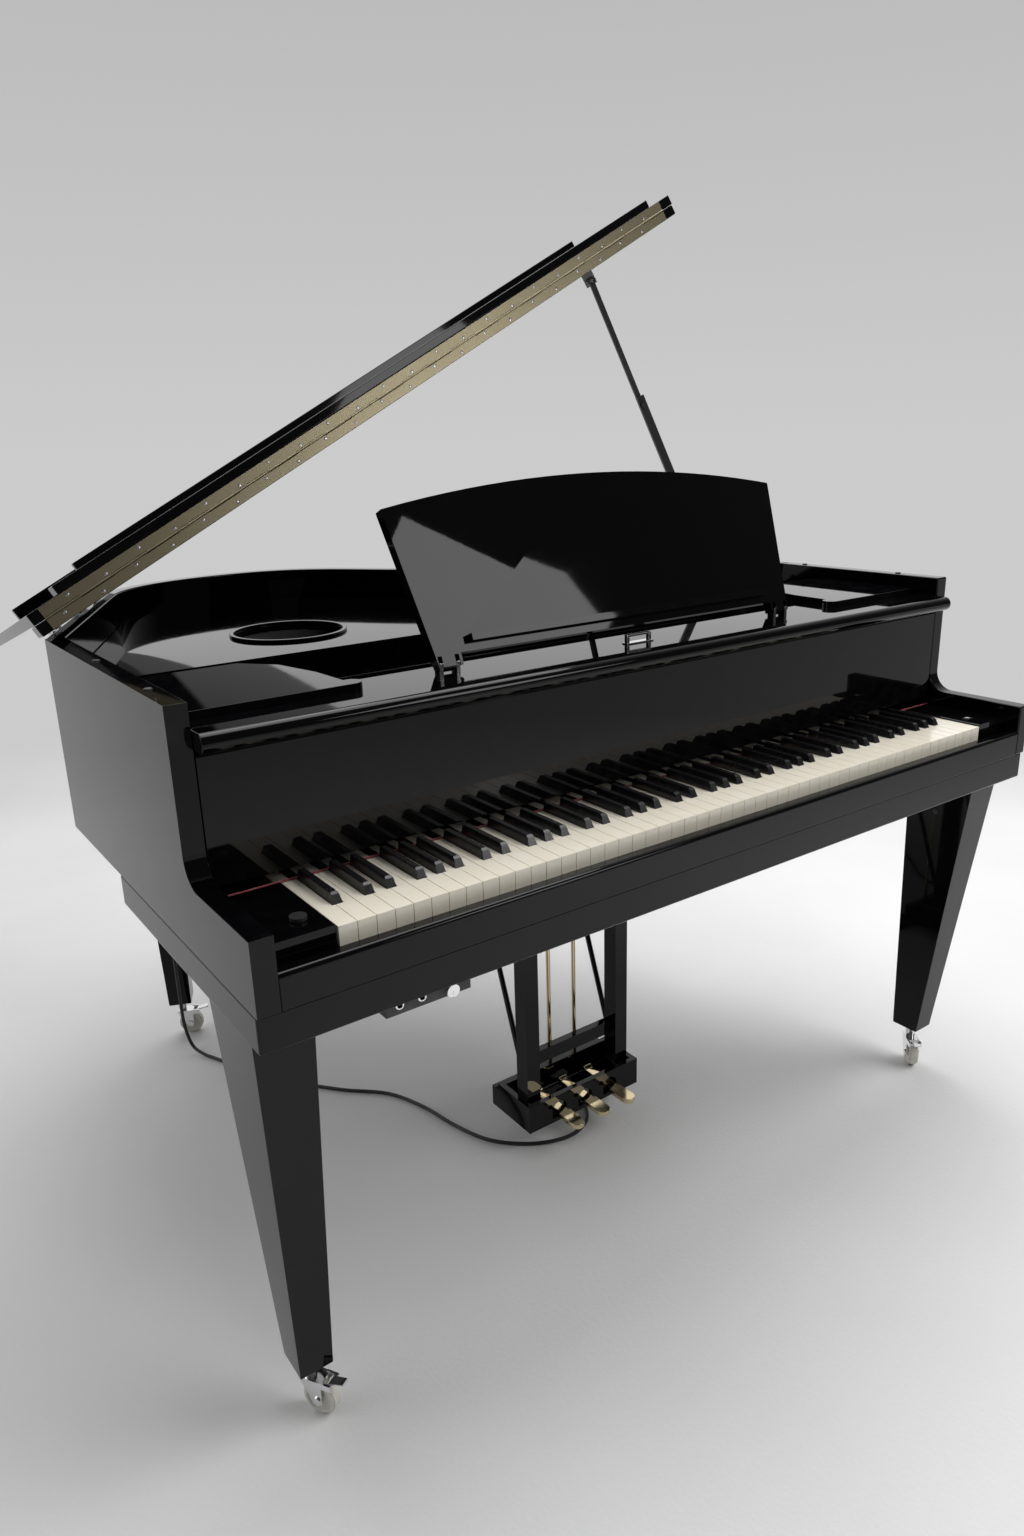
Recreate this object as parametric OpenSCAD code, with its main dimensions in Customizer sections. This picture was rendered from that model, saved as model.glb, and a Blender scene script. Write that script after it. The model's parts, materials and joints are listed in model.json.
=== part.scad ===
/* [Case] */
// Overall width across the case sides
case_w = 1446; // [1380:2:1740]
// Height of the rim's top edge above the floor
rim_h = 964; // [950:2:1160]
// Length of the straight left side, from the key fronts to its rear corner
side_len = 700; // [680:5:840]
// How far the case runs on behind that corner
tail_len = 610; // [510:5:740]
// Thickness of the sides and the rim
side_t = 27; // [18:1:33]
// Angle of the hinged rear left edge, from the front-to-back direction
hinge_angle = 24; // [20:1:28]

/* [Keyboard] */
// Height of the white key tops above the floor
key_h = 730; // [725:1:740]
// Width of one white key with its gap
key_pitch = 23.6; // [22.4:0.1:24]
// Visible length of a white key
key_len = 150; // [125:1:150]
// Gap between neighbouring keys
key_gap = 0.9; // [0.6:0.1:1.2]
// How deep the front of a key dips
key_dip = 10; // [8:0.5:10]
// Thickness of the keybed
keybed_t = 46; // [38:1:55]

/* [Lid] */
// Thickness of the lid boards
lid_t = 18; // [15:1:22]
// Opening angle of the lid on its stay
lid_open = 30; // [26:1:32]
// How far the lid boards stand out past the case
lid_over = 12; // [8:1:16]

/* [Music desk] */
// Height of the music desk measured along its face
desk_len = 212; // [180:2:240]
// Width of the music desk at its top
desk_w = 744; // [620:4:800]
// Angle of the raised desk from vertical
desk_lean = 22; // [18:1:26]

/* [Legs and casters] */
// Height of the leg bottoms above the floor
leg_foot_h = 80; // [76:1:92]
// Diameter of the caster wheels
wheel_d = 50; // [44:1:52]

/* [Pedals] */
// Distance between pedal centres
pedal_pitch = 60; // [52:1:66]
// Width of a pedal
pedal_w = 26; // [20:1:30]
// Swing of a pedal, in degrees
pedal_swing = 6; // [4:0.5:6]

/* [Speaker] */
// Diameter of the round port in the top plate
port_d = 196; // [160:2:220]

/* [Hidden] */
$fn = 48;

// The model is drawn about the keyboard's middle front edge on the floor, then moved so that
// the middle of its footprint is the origin.
foot_x = -15.8;
foot_y = 655.9;
module place() translate([-foot_x, -foot_y, 0]) children();

// Levels and clearances
run = 0.05;             // radial clearance of a turning pin in its bore
fit = 0.5;              // gap between neighbouring fixed boards
hw = case_w / 2;
inner_x = hw - side_t;
key_half = 26 * key_pitch;
arm_y = -26;            // front of the arms, in front of the key fronts
arm_top = key_h + 26;
arm_bottom = 668 + (key_h - 730);
keybed_z = arm_bottom - keybed_t;
keybed_y1 = 460;
cheek_y = key_len + 6;
cheek_r = 34;
corner = [-hw, side_len];
slant = [sin(hinge_angle), cos(hinge_angle)];
across = [cos(hinge_angle), -sin(hinge_angle)];
black = "#0b0b0d";
satin = "#17171a";
steel = "silver";
brass = "#b59a5a";

// Plan outline of the case: from the right side round the tail to the left rear corner
tail_y = side_len + tail_len;
tail_x = -hw + 508;
slant_end = corner + 0.8 * tail_len * slant;
bend_y = side_len - 180;
waist = [hw - 273, side_len + 130];
hip = [hw - 663, side_len + 440];
curves = [
  [[hw, bend_y], [hw, bend_y + 140], [hw - 103, bend_y + 240], waist],
  [waist, waist + [-120, 50], hip + [90, -130], hip],
  [hip, hip + [-80, 115], [tail_x + 125, tail_y], [tail_x, tail_y]],
  [[tail_x, tail_y], [tail_x - 135, tail_y], slant_end + 0.2 * tail_len * slant, slant_end]
];
function bez(c, t) = pow(1 - t, 3) * c[0] + 3 * t * pow(1 - t, 2) * c[1]
  + 3 * t * t * (1 - t) * c[2] + pow(t, 3) * c[3];
steps = 12;
outline = concat([for (c = curves) for (i = [0:steps - 1]) bez(c, i / steps)],
                 [slant_end, corner]);
function unit(v) = v / norm(v);
function side_dir(p, i) = i == 0 ? [0, 1] : unit(p[min(i + 1, len(p) - 1)] - p[max(i - 1, 0)]);
function inset(p, d) = [for (i = [0:len(p) - 1]) p[i] + d * [-side_dir(p, i)[1], side_dir(p, i)[0]]];
// The inset outline, ended square with the left side panel
function inset_tail(d) = concat(
  [for (i = [0:len(outline) - 2]) inset(outline, d)[i]],
  [[-hw + d / cos(hinge_angle), side_len]]);

module inner_area(clear, y0, y1 = 3000) intersection() {
  polygon(concat([[inner_x - clear, y0]], inset_tail(side_t + clear),
                 [[-inner_x + clear, side_len - 3], [-inner_x + clear, y0]]));
  translate([-hw, y0]) square([case_w, y1 - y0]);
}
module board(z, t) translate([0, 0, z]) linear_extrude(t) children();
module along_x(x, l) translate([x, 0, 0]) rotate([90, 0, 90]) linear_extrude(l) children();
module rod_x(x, l, y, z, r) translate([x, y, z]) rotate([0, 90, 0]) cylinder(h = l, r = r);

// ---------------------------------------------------------------- case
fall_y = 164;
fall_z = key_h + 22;
fall_t = 18;
fall_top = 905 + (rim_h - 964);
fall_pin_r = 4;
shelf_top = rim_h - 32;
shelf_t = 24;
shelf_y0 = 126;
shelf_y1 = 262;
low_shelf_top = rim_h - 114;
plate_top = rim_h - 60;
plate_y = 630;

module arm_profile(y_end) {
  difference() {
    union() {
      polygon([[arm_y, arm_bottom], [y_end, arm_bottom], [y_end, rim_h],
               [cheek_y, rim_h], [cheek_y, arm_top + cheek_r], [cheek_y - cheek_r, arm_top],
               [arm_y, arm_top]]);
    }
    translate([cheek_y - cheek_r, arm_top + cheek_r]) circle(r = cheek_r);
  }
}
module side_panel(x, y_end) difference() {
  along_x(x, side_t) arm_profile(y_end);
  rod_x(-inner_x - 12, 2 * inner_x + 24, fall_y, fall_z, fall_pin_r + run);
}
module left_side_panel() color(black) place() side_panel(-hw, side_len);
module right_side_panel() color(black) place() side_panel(inner_x, bend_y);
module rear_rim() color(black) place() board(arm_bottom, rim_h - arm_bottom)
  polygon(concat(outline, [for (i = [len(outline) - 1:-1:0]) inset_tail(side_t)[i]]));

module keybed() color(black) place()
  translate([-hw, arm_y + 4, keybed_z]) cube([case_w, keybed_y1 - arm_y - 4, keybed_t]);
module bottom_board() color(satin) place() difference() {
  board(arm_bottom, 18) inner_area(fit, 300);
  translate([cord_x, cord_y, 0]) cylinder(h = 2000, r = gland_r);
  translate([port_x, port_y, 0]) cylinder(h = 2000, r = 60);
}

port_x = -287;
port_y = 820;
module top_plate() color(black) place() difference() {
  union() {
    board(plate_top - 12, 12) inner_area(1.5, plate_y);
    board(low_shelf_top, plate_top - low_shelf_top - 6) inner_area(1.5, plate_y, plate_y + 14);
    board(low_shelf_top - 12, 12) inner_area(1.5, shelf_y1 + fit, plate_y + 14);
  }
  translate([port_x, port_y, 0]) cylinder(h = 2000, r = port_d / 2, $fn = 96);
}
module port_ring() color(satin) place() translate([port_x, port_y, plate_top]) difference() {
  cylinder(h = 5, r = port_d / 2 + 7, $fn = 96);
  translate([0, 0, -1]) cylinder(h = 7, r = port_d / 2 - 1, $fn = 96);
}
module woofer() color(satin) place() translate([port_x, port_y, plate_top - 12 - 70])
  rotate_extrude($fn = 96) polygon([
    [0, 22], [24, 20], [30, 18], [port_d / 2 - 14, 60], [port_d / 2 + 6, 62], [port_d / 2 + 6, 70],
    [port_d / 2 - 8, 70], [port_d / 2 - 16, 65], [40, 32], [0, 42]]);
module front_shelf() color(black) place() difference() {
  along_x(-inner_x + fit, 2 * (inner_x - fit)) union() {
    translate([shelf_y0 + shelf_t / 2, shelf_top - shelf_t]) square([shelf_y1 - shelf_y0 - shelf_t / 2, shelf_t]);
    translate([shelf_y0 + shelf_t / 2, shelf_top - shelf_t / 2]) circle(r = shelf_t / 2);
    translate([shelf_y1 - 18, low_shelf_top]) square([18, shelf_top - low_shelf_top - 1]);
  }
}
wing_nose_x = 455;
module wing_plan() difference() {
  union() {
    polygon([[wing_nose_x + 14, shelf_y0 + 76], [inner_x - fit, shelf_y0 + 76], [inner_x - fit, 430],
             [wing_nose_x + 80, 430], [wing_nose_x + 40, 380], [wing_nose_x + 22, 300], [wing_nose_x + 18, shelf_y0 + 104]]);
    translate([wing_nose_x + 14, shelf_y0 + 90]) circle(r = 14);
  }
}
module wing_shelves() color(black) place() for (s = [0, 1]) mirror([s, 0, 0])
  board(shelf_top, 10) wing_plan();
slip_top = key_h - 19;
module key_slip() color(black) place()
  along_x(-inner_x + fit, 2 * (inner_x - fit)) difference() {
    union() {
      translate([arm_y, arm_bottom]) square([22, slip_top - arm_bottom - 6]);
      translate([arm_y + 6, arm_bottom]) square([10, slip_top - arm_bottom]);
      for (y = [arm_y + 6, arm_y + 16]) translate([y, slip_top - 6]) circle(r = 6);
    }
  }
block_top = key_h + 2;
module key_blocks() color(black) place() for (s = [-1, 1])
  difference() {
    translate([s > 0 ? key_half + 2 : -inner_x + fit, 2, arm_bottom])
      cube([inner_x - key_half - 2 - fit, key_len - 4, block_top - arm_bottom]);
    if (s > 0) translate([switch_x - 9, switch_y - 6, block_top - 14]) cube([18, 12, 20]);
    else translate([-switch_x, switch_y, block_top - 14]) cylinder(h = 20, r = 3 + run);
  }
module key_felt() color("#8c1220") place()
  translate([-inner_x + fit, key_len + 0.6, key_h - 7.5]) cube([2 * (inner_x - fit), 5, 8.5]);

// ---------------------------------------------------------------- keyboard
key_bottom = key_h - 24;
tail_end = 240;
pivot_y = 228;
pivot_z = key_bottom + 8;
pivot_r = 2;
sharp_w = 13.2;
sharp_len = 96;
sharp_h = 12;
sharp_top_w = 9.4;
// White keys run from A to C over 88 keys; the sharps stand between these white keys
first_white = 5;        // the first white key is an A, the sixth letter of the C octave
sharps = [0, 1, 3, 4, 5];
sharp_shift = [-2.6, 2.6, -3.2, 0, 3.2];
function letter(i) = (i + first_white) % 7;
function has_sharp(i) = len(search(letter(i), sharps)) > 0 && i < 51;
function shift(i) = sharp_shift[search(letter(i), sharps)[0]];
function white_x(i) = (i - 26) * key_pitch;
function sharp_x(i) = white_x(i + 1) + shift(i);

module white_plan(i) difference() {
  translate([white_x(i) + key_gap / 2, 0]) square([key_pitch - key_gap, tail_end]);
  if (has_sharp(i)) sharp_slot(sharp_x(i));
  if (i > 0 && has_sharp(i - 1)) sharp_slot(sharp_x(i - 1));
}
module sharp_slot(x) translate([x - sharp_w / 2 - key_gap, key_len - sharp_len - 1])
  square([sharp_w + 2 * key_gap, tail_end]);
module pivot_bore(x, w) rod_x(x, w, pivot_y, pivot_z, pivot_r + run);
module white_key(i) difference() {
  translate([0, 0, key_bottom]) linear_extrude(key_h - key_bottom) white_plan(i);
  translate([white_x(i) - 1, key_len - 1, key_h - 8]) cube([key_pitch + 2, 200, 20]);
  pivot_bore(white_x(i) - 1, key_pitch + 2);
}
module sharp_key(i) let (x = sharp_x(i)) difference() {
  intersection() {
    along_x(x - sharp_w / 2, sharp_w) polygon([
      [key_len - sharp_len, key_bottom], [tail_end, key_bottom], [tail_end, key_h - 8],
      [key_len - 1, key_h - 8], [key_len - 1, key_h + sharp_h], [key_len - sharp_len + 9, key_h + sharp_h],
      [key_len - sharp_len + 5, key_h + sharp_h - 2], [key_len - sharp_len, key_h - 1]]);
    translate([x, 300, 0]) rotate([90, 0, 0]) linear_extrude(400) polygon([
      [-sharp_w / 2, 0], [sharp_w / 2, 0], [sharp_w / 2, key_h - 1], [sharp_top_w / 2, key_h + sharp_h - 1],
      [sharp_top_w / 2 - 1, key_h + sharp_h], [-sharp_top_w / 2 + 1, key_h + sharp_h],
      [-sharp_top_w / 2, key_h + sharp_h - 1], [-sharp_w / 2, key_h - 1]]);
  }
  pivot_bore(x - sharp_w, 2 * sharp_w);
}
// Middle C to D sharp move one by one; the others are grouped
middle = [23, 24];
module white_keys() color("#f3efe2") place() for (i = [0:51])
  if (i != middle[0] && i != middle[1]) white_key(i);
module black_keys() color(black) place() for (i = [0:50])
  if (has_sharp(i) && i != middle[0] && i != middle[1]) sharp_key(i);
module key_c() color("#f3efe2") place() white_key(middle[0]);
module key_d() color("#f3efe2") place() white_key(middle[1]);
module key_c_sharp() color(black) place() sharp_key(middle[0]);
module key_d_sharp() color(black) place() sharp_key(middle[1]);
// The frame carries the pivot rod on end posts, and felted rails stop the keys
frame_x = key_half + 1;
module key_frame() color(steel) place() {
  translate([-frame_x, 8, arm_bottom]) cube([2 * frame_x, 242, 4]);
  translate([-frame_x, 12, arm_bottom]) cube([2 * frame_x, 24, key_bottom - arm_bottom - key_dip - 2]);
  translate([-frame_x, 196, arm_bottom]) cube([2 * frame_x, 16, key_bottom - arm_bottom - 2.5]);
  rod_x(-frame_x, 2 * frame_x, pivot_y, pivot_z, pivot_r);
  for (x = [-frame_x - 6, frame_x - 0.5]) translate([x, 218, arm_bottom])
    cube([6.5, 20, pivot_z - arm_bottom + 6]);
}

// ---------------------------------------------------------------- electronics
board_z = arm_bottom + 18;
module main_board() color("#1d5a34") place() {
  translate([80, 560, board_z + 8]) cube([260, 170, 2]);
  for (x = [90, 330], y = [570, 720]) translate([x, y, board_z]) cylinder(h = 8, r = 4);
  for (i = [0:3]) translate([110 + 52 * i, 600, board_z + 10]) cube([34, 60, 6]);
}
module power_unit() color("#9a9da0") place() translate([-420, 560, board_z])
  difference() {
    cube([180, 110, 52]);
    for (i = [0:7]) translate([20 + i * 18, -1, 14]) cube([8, 8, 26]);
  }
knob_x = -480;
knob_y = 8;
box_t = 24;
module control_box() color(satin) place() difference() {
  translate([-564, 0, keybed_z - box_t]) cube([116, 66, box_t]);
  for (x = [-546, -516]) translate([x, -1, keybed_z - box_t / 2]) rotate([-90, 0, 0]) {
    cylinder(h = 16, r = 3.25);
  }
  translate([knob_x, -1, keybed_z - box_t / 2]) rotate([-90, 0, 0]) cylinder(h = 14, r = 3 + run);
}
module control_knob() color(steel) place() translate([knob_x, 0, keybed_z - box_t / 2])
  rotate([-90, 0, 0]) union() {
    cylinder(h = 12, r = 3);
    translate([0, 0, -13]) cylinder(h = 12.5, r = 8.5);
    translate([0, 0, -13.6]) linear_extrude(0.8) translate([-0.8, 0]) square([1.6, 8]);
  }
module volume_knob() color(steel) place() translate([-switch_x, switch_y, block_top]) union() {
  translate([0, 0, -12]) cylinder(h = 14, r = 3);
  translate([0, 0, 0.5]) cylinder(h = 4.5, r = 10);
  translate([-0.8, 3, 4.5]) cube([1.6, 6.5, 0.9]);
}
switch_x = key_half + 28;
switch_y = 40;
module power_switch() color(steel) place() union() {
  translate([switch_x - 8, switch_y - 5, block_top - 10]) cube([16, 10, 11.5]);
}

// ---------------------------------------------------------------- pedals
lyre_x = 117;
lyre_y0 = 332;
lyre_y1 = 428;
lyre_box_z = 43;
lyre_box_h = 53;
post_w = 28;
pedal_y = 400;
pedal_z = 66;
module lyre_frame() color(black) place() {
  translate([-lyre_x - 22, lyre_y0, keybed_z - 24]) cube([2 * lyre_x + 44, 122, 24]);
  for (s = [-1, 1]) translate([s * (lyre_x - post_w / 2) - post_w / 2, 350, lyre_box_z + 10])
    cube([post_w, 32, keybed_z - 24 - lyre_box_z - 10]);
  translate([-lyre_x + post_w, 366, 150]) cube([2 * (lyre_x - post_w), 14, 26]);
  for (s = [-1, 1]) brace(s);
}
brace_y = 195;
module brace(s) let (rise = arm_bottom - 118) {
  translate([s * (lyre_x - post_w / 2), 376, 115]) rotate([-atan2(brace_y, rise), 0, 0])
    cylinder(h = norm([brace_y, rise]), r = 5);
  translate([s * (lyre_x - post_w / 2) - 14, 376 + brace_y - 22, arm_bottom - 6]) cube([28, 40, 5.8]);
}
module pedal_box() color(black) place() {
  difference() {
    translate([-lyre_x - 11, lyre_y0, lyre_box_z]) cube([2 * lyre_x + 22, lyre_y1 - lyre_y0, lyre_box_h]);
    translate([-lyre_x - 0.5, lyre_y0 + 10, lyre_box_z + 10])
      cube([2 * lyre_x + 1, lyre_y1 - lyre_y0 - 20, lyre_box_h]);
    for (i = [-1:1]) pedal_slot(i);
  }
  rod_x(-lyre_x - 1, 2 * lyre_x + 2, pedal_y, pedal_z, 3);
  translate([-lyre_x - 11, lyre_y1 - 0.5, lyre_box_z]) cube([2 * lyre_x + 22, 20.5, 40]);
}
module pedal_slot(i) translate([i * pedal_pitch, lyre_y0 - 1, 0]) rotate([90, 0, 0])
  translate([0, 0, -14]) linear_extrude(14) {
    translate([-pedal_w / 2 - 3, pedal_z - 15]) square([pedal_w + 6, 15]);
    translate([0, pedal_z]) intersection() {
      circle(r = pedal_w / 2 + 3);
      translate([-50, 0]) square([100, 100]);
    }
  }
module pedal(i) color(brass) place() translate([i * pedal_pitch, 0, 0]) difference() {
  union() {
    translate([0, 282, pedal_z - 5]) cylinder(h = 9, r = pedal_w / 2);
    translate([-pedal_w / 2, 282, pedal_z - 5]) cube([pedal_w, 36, 9]);
    translate([-9, 300, pedal_z - 5]) cube([18, pedal_y - 300, 9]);
    rod_x(-9, 18, pedal_y, pedal_z, 8);
  }
  rod_x(-10, 20, pedal_y, pedal_z, 3 + run);
}
module left_pedal() pedal(-1);
module middle_pedal() pedal(0);
module right_pedal() pedal(1);
module pedal_rods() color(brass) place() for (i = [-1:1])
  translate([i * pedal_pitch, 438, lyre_box_z + 40]) cylinder(h = keybed_z - 24 - lyre_box_z - 40, r = 4);

// ---------------------------------------------------------------- legs and casters
leg_top_w = 74;
leg_foot_w = 46;
front_leg = [hw - 5 - leg_top_w / 2, 80];
rear_leg_at = slant_end + 12 * slant + 40 * across;
leg_in = 19;             // how far the foot's middle stands inside the top's middle
// A leg tapers from its top plate to its foot; lean moves the foot, [x, y]
module leg_block(top, foot, lean, z1) polyhedron(
  points = concat(
    [for (p = [[-1, -1], [1, -1], [1, 1], [-1, 1]]) [lean[0] + p[0] * foot[0] / 2, lean[1] + p[1] * foot[1] / 2, leg_foot_h]],
    [for (p = [[-1, -1], [1, -1], [1, 1], [-1, 1]]) [p[0] * top[0] / 2, p[1] * top[1] / 2, z1]]),
  faces = [[0, 1, 2, 3], [7, 6, 5, 4], [0, 4, 5, 1], [1, 5, 6, 2], [2, 6, 7, 3], [3, 7, 4, 0]]);
module leg(top, foot, lean, z1) difference() {
  leg_block(top, foot, lean, z1);
  translate([lean[0], lean[1], leg_foot_h - 1]) cylinder(h = 31, r = stem_r + run);
}
front_top = [leg_top_w, 130];
front_foot = [leg_foot_w, 52];
front_lean = [leg_in, 22];
module front_legs() color(black) place() for (s = [0, 1]) mirror([s, 0, 0])
  translate([front_leg[0], front_leg[1], 0])
    leg(front_top, front_foot, [-front_lean[0], front_lean[1]], keybed_z);
rear_lean = [4, -6];
module rear_leg() color(black) place() translate([rear_leg_at[0], rear_leg_at[1], 0])
  rotate([0, 0, -hinge_angle]) leg([70, 90], [46, 52], rear_lean, arm_bottom);

stem_r = 5;
wheel_r = wheel_d / 2;
wheel_w = 17;
trail = 16;
axle_r = 3;
cheek_gap = 0.6;
// A caster is drawn about its stem, trailing towards -Y, and turned by its swivel angle
module at_caster(p, turn) place() translate([p[0], p[1], 0]) rotate([0, 0, turn]) children();
module fork() color(steel) {
  difference() {
    union() {
      translate([0, 0, leg_foot_h - 4.4]) cylinder(h = 4, r = 17);
      translate([0, 0, leg_foot_h - 4.4]) cylinder(h = 30, r = stem_r);
      translate([0, 0, wheel_d + 2]) cylinder(h = leg_foot_h - wheel_d - 3, r = 9);
      translate([-wheel_w / 2 - cheek_gap - 3, -trail - 8, wheel_d + 2])
        cube([wheel_w + 2 * cheek_gap + 6, trail + 17, 4]);
      for (x = [-wheel_w / 2 - cheek_gap - 3, wheel_w / 2 + cheek_gap]) along_x(x, 3)
        polygon([[-trail - 7, wheel_r - 3], [-trail - 4, wheel_r - 7], [-trail + 4, wheel_r - 7],
                 [-trail + 7, wheel_r - 3], [9, wheel_d + 3], [-trail - 8, wheel_d + 3]]);
      rod_x(-wheel_w / 2 - cheek_gap - 5, wheel_w + 2 * cheek_gap + 10, -trail, wheel_r, axle_r);
      for (x = [-1, 1]) rod_x(x * (wheel_w / 2 + cheek_gap + 4) - 1, 2, -trail, wheel_r, 6);
      rod_x(-wheel_w / 2 - cheek_gap - 1, wheel_w + 2 * cheek_gap + 2, brake_y, brake_z, 1.5);
      for (x = [-wheel_w / 2 - cheek_gap - 3, wheel_w / 2 + cheek_gap])
        translate([x, brake_y - 4, brake_z - 5]) cube([3, 18, 9]);
    }
  }
}
brake_y = -trail - 18;
brake_z = wheel_d + 3;
module brake() color("#d9c9a6") difference() {
  union() {
    rod_x(-wheel_w / 2 + 1, wheel_w - 2, brake_y, brake_z, 4);
    translate([0, brake_y, brake_z + 1]) rotate([-14, 0, 0])
      translate([-wheel_w / 2 + 2, -22, 0]) cube([wheel_w - 4, 22.5, 2.6]);
  }
  rod_x(-20, 40, brake_y, brake_z, 1.5 + run);
}
module wheel() color(steel) translate([-wheel_w / 2, -trail, wheel_r]) rotate([0, 90, 0])
  difference() {
    union() {
      cylinder(h = wheel_w, r = wheel_r - 2, $fn = 64);
      translate([0, 0, 2]) cylinder(h = wheel_w - 4, r = wheel_r, $fn = 64);
    }
    translate([0, 0, -1]) cylinder(h = wheel_w + 2, r = axle_r + run);
    for (z = [-1, wheel_w - 2]) translate([0, 0, z]) difference() {
      cylinder(h = 3, r = wheel_r - 7);
      cylinder(h = 3, r = 8);
    }
  }
left_foot = [-front_leg[0] + front_lean[0], front_leg[1] + front_lean[1]];
right_foot = [front_leg[0] - front_lean[0], front_leg[1] + front_lean[1]];
rear_foot = rear_leg_at + rear_lean[0] * across + rear_lean[1] * slant;
left_turn = 30;
right_turn = -40;
rear_turn = 60;
module left_fork() at_caster(left_foot, left_turn) fork();
module left_wheel() at_caster(left_foot, left_turn) wheel();
module left_brake() at_caster(left_foot, left_turn) brake();
module right_fork() at_caster(right_foot, right_turn) fork();
module right_wheel() at_caster(right_foot, right_turn) wheel();
module right_brake() at_caster(right_foot, right_turn) brake();
module rear_fork() at_caster(rear_foot, rear_turn) fork();
module rear_wheel() at_caster(rear_foot, rear_turn) wheel();
module rear_brake() at_caster(rear_foot, rear_turn) brake();

// ---------------------------------------------------------------- lid
lid_z = rim_h + 2;
lid_top = lid_z + lid_t;
flap_y = side_len - 75;
strip_t = 1.5;
barrel_r = 1.6;
hinge_out = 6;
hinge_at = corner + [-hinge_out * across[0], -hinge_out * across[1]];
hinge_pin_r = 2.5;
hinge_len = 64;
hinge_spots = [60, 240, 420];
// Turns what is drawn closed to its place at rest, about the hinge line
module opened() translate([hinge_at[0], hinge_at[1], lid_z])
  rotate(a = -lid_open, v = [slant[0], slant[1], 0])
    translate([-hinge_at[0], -hinge_at[1], -lid_z]) children();
// Turns the flap over onto the lid about its strip
fold_z = lid_top + 0.2;
module folded() translate([0, flap_y, fold_z]) rotate([180, 0, 0])
  translate([0, -flap_y, -fold_z]) children();
// Puts something at a distance along the hinge line, x pointing into the case
module on_hinge(s, z) translate([hinge_at[0] + s * slant[0], hinge_at[1] + s * slant[1], z])
  rotate([0, 0, -hinge_angle]) children();

module lid_plan() difference() {
  intersection() {
    polygon(concat([[hw + lid_over, flap_y - 400]], [[hw + lid_over, bend_y]], inset(outline, -lid_over),
                   [[-hw - lid_over, side_len], [-hw - lid_over, flap_y - 400]]));
    translate([-hw - 50, flap_y + strip_t + 0.2]) square([case_w + 100, 2000]);
  }
  // straight along the hinge line, with room for the leaves
  on_hinge(-200, 0) translate([-300, 0]) square([300 + hinge_out + 3.2, 1200]);
}
module lid_board() color(black) place() opened() board(lid_z, lid_t) lid_plan();
module lower_strip() color(brass) place() opened() {
  strip(0.2, 0);
}
strip_right = case_w - 46;
barrel_n = 24;
// A leaf of the long folding hinge, notched at the other leaf's barrels
module strip(dy, k) {
  translate([-hw + 6, flap_y + dy, lid_z + 0.8]) cube([strip_right, strip_t, lid_t - 2.8]);
  for (i = [k:2:barrel_n - 1]) let (l = strip_right / barrel_n, x = -hw + 6 + i * l + 0.2) {
    rod_x(x, l - 0.4, flap_y, fold_z, barrel_r);
    translate([x, flap_y + dy, lid_top - 2.5]) cube([l - 0.4, strip_t, 2.7]);
  }
}
module flap_plan() translate([-hw - lid_over, shelf_y0 + 26])
  square([case_w + 2 * lid_over, flap_y - shelf_y0 - 26 - strip_t - 0.2]);
module flap_board() color(black) place() opened() folded() intersection() {
  board(lid_z, lid_t) flap_plan();
  board(lid_z - 1, lid_t + 2) polygon(concat([[hw + lid_over, 0]], [[hw + lid_over, bend_y]],
    inset(outline, -lid_over), [[-hw - lid_over, side_len], [-hw - lid_over, 0]]));
}
module upper_strip() color(brass) place() opened() folded() {
  strip(-0.2 - strip_t, 1);
}
// Under the flap: a stiffening panel, a batten near the strip and a front lip over the shelf
frame_in = side_t + 14;
module flap_frame() color(black) place() opened() folded() {
  translate([-hw + frame_in, flap_y - 40, lid_z - 14]) cube([case_w - 2 * frame_in - 24, 38, 14]);
  translate([-hw + frame_in + 60, flap_y - 96, lid_z - 26]) cube([case_w - 2 * frame_in - 220, 12, 26]);
  translate([-hw + frame_in, shelf_y0 + 40, lid_z - 22]) cube([case_w - 2 * frame_in, 16, 22]);
}
// Hinges: the fixed leaves stand on the rim's outer face, the moving ones on the lid's edge
module rim_hinges() color(steel) place() for (s = hinge_spots) on_hinge(s, lid_z) {
  translate([hinge_out - 3.2, 0, -46]) cube([3, hinge_len, 40]);
  for (y = [0, hinge_len - 20]) hinge_knuckle(y, 20, hinge_pin_r, -1);
  translate([0, 0.5, 0]) rotate([-90, 0, 0]) cylinder(h = hinge_len - 1, r = hinge_pin_r);
}
module hinge_knuckle(y, l, r, up) difference() {
  union() {
    translate([0, y, 0]) rotate([-90, 0, 0]) cylinder(h = l, r = 5);
    if (up > 0) translate([0, y, 0]) cube([hinge_out + 1, l, 5]);
    else translate([0, y, -8]) cube([hinge_out - 0.4, l, 8]);
  }
  translate([0, y - 1, 0]) rotate([-90, 0, 0]) cylinder(h = l + 2, r = r);
}
module lid_fittings() color(steel) place() opened() {
  for (s = hinge_spots) on_hinge(s, lid_z) {
    translate([hinge_out + 0.2, 0, 0.8]) cube([2.8, hinge_len, lid_t - 1.6]);
    hinge_knuckle(20.4, hinge_len - 40.8, hinge_pin_r + run, 1);
  }
  lid_stay_bracket();
}

// ---------------------------------------------------------------- lid stay
// Two links in the plane across the hinge line: n counts from the hinge, s along it
stay_n = case_w * 0.785;
stay_pull = 115;         // the base stands this far outside the upper pin when closed
stay_drop = 18;          // the upper pin hangs this far below the lid
link_w = 16;
link_t = 9;
stay_pin_r = 3;
q_n = stay_n * cos(lid_open) + stay_drop * sin(lid_open);
q_z = lid_z + stay_n * sin(lid_open) - stay_drop * cos(lid_open);
base_z = plate_top + 47;
base_n = stay_n + stay_pull;
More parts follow.
